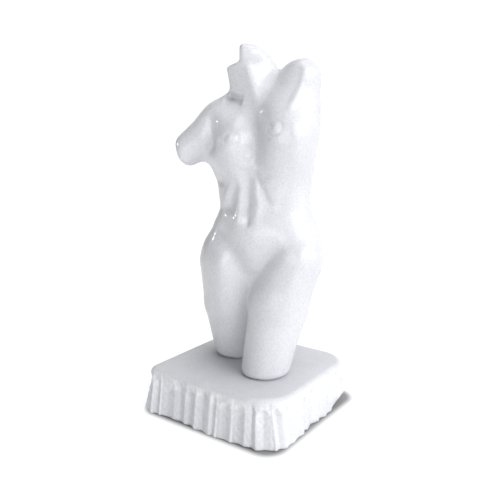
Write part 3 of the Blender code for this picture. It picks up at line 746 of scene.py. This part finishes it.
def add_plinth(material):
    rim = PLINTH_THICKNESS - TOP_EDGE_RADIUS
    levels = [(0.0, FOOT_ROUNDING)]  # heights and insets, from the foot up
    for i in range(FOOT_RINGS):
        turn = (i + 1) / FOOT_RINGS * math.pi / 2
        levels.append((FOOT_ROUNDING * (1 - math.cos(turn)), FOOT_ROUNDING * (1 - math.sin(turn))))
    for i in range(1, SIDE_RINGS + 1):
        levels.append((FOOT_ROUNDING + (rim - FOOT_ROUNDING) * i / SIDE_RINGS, 0.0))
    levels += rim_turns(RIM_RINGS)
    spacing = (PLINTH_SIDE_POINTS, PLINTH_CORNER_POINTS)
    _, normals = rounded_outline(FOOT_LOW, FOOT_HIGH, FOOT_CORNERS, *spacing)
    outward = np.column_stack([normals, np.zeros(len(normals))])
    coarse, fine = GRAIN_LENGTHS
    rings = []
    for height, inset in levels:
        ring = plinth_ring(height, inset, *spacing)
        rough = ease((rim - height) / FLUTE_RUN_IN + 0.5) * ease(height / FOOT_ROUNDING)
        grain = wander(ring, coarse) + 0.6 * wander(ring + 0.7, fine)
        rings.append(ring + outward * (grain * TOOL_GRAIN * rough)[:, None])
    top = rings[-1]
    middle = np.array([0, 0, PLINTH_THICKNESS])
    rings += [top + (middle - top) * i / TOP_RINGS for i in range(1, TOP_RINGS + 1)]
    nearly_closed = np.array([1e-3, 1e-3, 0])
    rings.insert(0, rings[0] * nearly_closed)
    count = len(top)
    i = np.arange(count)
    j = (i + 1) % count
    strips = []
    for ring in range(len(rings) - 1):
        low, high = ring * count, (ring + 1) * count
        strips.append(np.stack([low + i, low + j, high + j, high + i], axis=1))
    points = held_in(np.concatenate(rings), PLINTH_LOW, PLINTH_HIGH)
    add_piece("plinth_surface", points, np.concatenate(strips), material, "hewn_marble", "plinth")


def node(tree, kind, links=(), values=(), **settings):
    """A shader node with its settings, its inputs' values and what is linked into its inputs."""
    made = tree.nodes.new(kind)
    for name, value in settings.items():
        setattr(made, name, value)
    for name, value in dict(values).items():
        made.inputs[name].default_value = value
    for name, source in dict(links).items():
        tree.links.new(source, made.inputs[name])
    return made


def noise(tree, place, scale, detail=4.0, roughness=0.55):
    values = {"Scale": scale, "Detail": detail, "Roughness": roughness}
    return node(tree, "ShaderNodeTexNoise", {"Vector": place}, values).outputs["Fac"]


def ramp(tree, value, stops):
    made = node(tree, "ShaderNodeValToRGB", {"Fac": value})
    for element, (position, colour) in zip(made.color_ramp.elements, stops):
        element.position = position
        element.color = colour
    return made.outputs["Color"]


def grey(value):
    return (value, value, value, 1.0)


def eased(tree, value, start, end, least=0.0, most=1.0):
    """A smooth step of the value from one result to another."""
    values = {"From Min": start, "From Max": end, "To Min": least, "To Max": most}
    made = node(tree, "ShaderNodeMapRange", {"Value": value}, values, interpolation_type="SMOOTHSTEP")
    return made.outputs["Result"]


def product(tree, first, second):
    return node(tree, "ShaderNodeMath", {0: first, 1: second}, operation="MULTIPLY").outputs["Value"]


def darkened(tree, factor, colour, pattern):
    values = {"Factor": factor}
    links = {"A": colour, "B": pattern}
    made = node(tree, "ShaderNodeMix", links, values, data_type="RGBA", blend_type="MULTIPLY")
    return made.outputs["Result"]


def bruised(tree, place, colour, strength):
    """The colour, whitened in patches high on the plinth's sides, where the strokes of the gouge began."""
    split = node(tree, "ShaderNodeSeparateXYZ", {"Vector": place})
    starts, full, fades, ends = (PLINTH_THICKNESS * share for share in BRUISE_BAND)
    band = eased(tree, split.outputs["Z"], starts, full, most=strength)
    under_the_top = eased(tree, split.outputs["Z"], ends, fades)
    patches = ramp(tree, noise(tree, place, BRUISE_SCALE), [(0.44, grey(0.0)), (0.60, grey(1.0))])
    factor = product(tree, product(tree, band, patches), under_the_top)
    links = {"Factor": factor, "A": colour}
    return node(tree, "ShaderNodeMix", links, {"B": MARBLE_BRUISED}, data_type="RGBA").outputs["Result"]


def marble(name, roughness, coat, speckle, bump_height, bruise=0.0):
    """White marble: slow cool clouds, a fine grey crystal grain with a few darker specks, and a polish."""
    material = bpy.data.materials.new(name)
    material.use_nodes = True
    tree = material.node_tree
    shader = tree.nodes["Principled BSDF"]
    place = node(tree, "ShaderNodeTexCoord").outputs["Object"]
    colour = ramp(tree, noise(tree, place, CLOUD_SCALE, 5.0), [(0.32, MARBLE_DARK), (0.62, MARBLE_PALE)])
    grains = ramp(tree, noise(tree, place, GRAIN_SCALE, 3.0, 0.7), [(0.40, grey(0.72)), (0.58, grey(1.0))])
    specks = ramp(tree, noise(tree, place, SPECK_SCALE, 2.0, 0.6), [(0.30, grey(0.65)), (0.38, grey(1.0))])
    for pattern in (grains, specks):
        colour = darkened(tree, speckle, colour, pattern)
    if bruise:
        colour = bruised(tree, place, colour, bruise)
    tree.links.new(colour, shader.inputs["Base Color"])
    worn = [(0.3, grey(roughness * 0.8)), (0.7, grey(roughness * 1.3))]
    tree.links.new(ramp(tree, noise(tree, place, POLISH_SCALE), worn), shader.inputs["Roughness"])
    shader.inputs["IOR"].default_value = MARBLE_IOR
    shader.inputs["Subsurface Weight"].default_value = 0.1
    shader.inputs["Subsurface Radius"].default_value = (1.0, 0.9, 0.8)
    shader.inputs["Subsurface Scale"].default_value = GLOW_DEPTH
    shader.inputs["Coat Weight"].default_value = coat
    shader.inputs["Coat Roughness"].default_value = COAT_ROUGHNESS
    shader.inputs["Coat IOR"].default_value = MARBLE_IOR
    pores = noise(tree, place, BUMP_SCALE, roughness=0.6)
    bump = node(tree, "ShaderNodeBump", {"Height": pores}, {"Strength": 0.35, "Distance": bump_height})
    tree.links.new(bump.outputs["Normal"], shader.inputs["Normal"])
    return material


def floor_mesh():
    """Rings of faces round one point, out to the horizon."""
    points = [(0.0, 0.0, 0.0)]
    for radius in FLOOR_RINGS:
        for i in range(FLOOR_SIDES):
            turn = 2 * math.pi * i / FLOOR_SIDES
            points.append((radius * math.cos(turn), radius * math.sin(turn), 0.0))
    faces = [(0, 1 + i, 1 + (i + 1) % FLOOR_SIDES) for i in range(FLOOR_SIDES)]
    for ring in range(len(FLOOR_RINGS) - 1):
        inner, outer = 1 + ring * FLOOR_SIDES, 1 + (ring + 1) * FLOOR_SIDES
        for i in range(FLOOR_SIDES):
            j = (i + 1) % FLOOR_SIDES
            faces.append((inner + i, outer + i, outer + j, inner + j))
    mesh = bpy.data.meshes.new("floor")
    mesh.from_pydata(points, [], faces)
    return mesh


def floor_material():
    """Pale, and glowing everywhere but under the plinth and close to it, which paints a thin contact shadow
    round its foot.
    """
    material = bpy.data.materials.new("studio_white")
    material.use_nodes = True
    tree = material.node_tree
    shader = tree.nodes["Principled BSDF"]
    shader.inputs["Base Color"].default_value = FLOOR_COLOUR
    shader.inputs["Roughness"].default_value = 0.8
    shader.inputs["Emission Color"].default_value = (1.0, 1.0, 1.0, 1.0)
    place = node(tree, "ShaderNodeTexCoord").outputs["Object"]
    corner = (PLINTH_HIGH[0] - GLOW_CORNER, PLINTH_HIGH[1] - GLOW_CORNER, 0.0)
    vector_math = "ShaderNodeVectorMath"
    aside = node(tree, vector_math, {0: place}, operation="ABSOLUTE").outputs["Vector"]
    past = node(tree, vector_math, {0: aside}, {1: corner}, operation="SUBTRACT").outputs["Vector"]
    beyond = node(tree, vector_math, {0: past}, operation="MAXIMUM").outputs["Vector"]
    away = node(tree, vector_math, {0: beyond}, operation="LENGTH").outputs["Value"]
    # the glow fades out near the plinth's outline: painted contact shadow on the floor
    glow = eased(tree, away, GLOW_CORNER - PAINTED_SHADOW_FADE, GLOW_CORNER + PAINTED_SHADOW_FADE, most=FLOOR_GLOW)
    tree.links.new(glow, shader.inputs["Emission Strength"])
    return material


def add_floor():
    mesh = floor_mesh()
    mesh.materials.append(floor_material())
    floor = bpy.data.objects.new("floor", mesh)
    bpy.context.scene.collection.objects.link(floor)
    floor.location.z = CAD_LOW[2] - FLOOR_GAP
    floor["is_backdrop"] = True


def add_light(data, place, target, power):
    """A light that the camera doesn't see, aimed at the target."""
    data.energy = power
    light = bpy.data.objects.new(data.name, data)
    bpy.context.scene.collection.objects.link(light)
    light.location = place
    light.rotation_mode = "QUATERNION"
    light.rotation_quaternion = (Vector(target) - Vector(place)).to_track_quat("-Z", "Y")
    light.visible_camera = False
    return light


def add_lights():
    for name, place, power in SUNS:
        sun = bpy.data.lights.new(name, "SUN")
        sun.angle = SUN_SOFTNESS
        add_light(sun, place, (0, 0, 0), power)
    lamp = bpy.data.lights.new("sparkle", "AREA")
    lamp.shape = "DISK"
    lamp.size = SPARKLE_SIZE
    sparkle = add_light(lamp, SPARKLE_FROM, SPARKLE_AIM, SPARKLE_POWER)
    sparkle.visible_diffuse = False


def add_world():
    """A bright wall behind and to the right, in a dark room."""
    world = bpy.data.worlds.new("studio")
    world.use_nodes = True
    tree = world.node_tree
    way = node(tree, "ShaderNodeTexCoord").outputs["Generated"]
    facing = node(tree, "ShaderNodeVectorMath", {0: way}, {1: BRIGHT_SIDE}, operation="DOT_PRODUCT")
    bright = WORLD_STRENGTH + WALL_STRENGTH
    strength = eased(tree, facing.outputs["Value"], WALL_FROM, WALL_TO, WORLD_STRENGTH, bright)
    background = tree.nodes["Background"]
    background.inputs["Color"].default_value = (1.0, 1.0, 1.0, 1.0)
    tree.links.new(strength, background.inputs["Strength"])
    bpy.context.scene.world = world


def add_camera():
    data = bpy.data.cameras.new("camera")
    data.sensor_width = 36.0
    data.lens = CAMERA_LENS
    data.clip_start = 0.01
    camera = bpy.data.objects.new("camera", data)
    bpy.context.scene.collection.objects.link(camera)
    camera.location = CAMERA_PLACE
    camera.rotation_euler = (math.pi / 2 - CAMERA_PITCH, 0, CAMERA_AZIMUTH)
    bpy.context.scene.camera = camera


for item in [o for o in bpy.data.objects if o.name in ("Cube", "Light", "Camera")]:
    bpy.data.objects.remove(item, do_unlink=True)
bpy.context.scene.view_settings.view_transform = "Standard"

polished = marble("polished_marble", roughness=0.42, coat=0.3, speckle=0.38, bump_height=0.00015)
hewn = marble("hewn_marble", roughness=0.6, coat=0.0, speckle=0.3, bump_height=0.0006, bruise=0.7)
add_figure(polished)
add_plinth(hewn)
add_floor()
add_lights()
add_world()
add_camera()
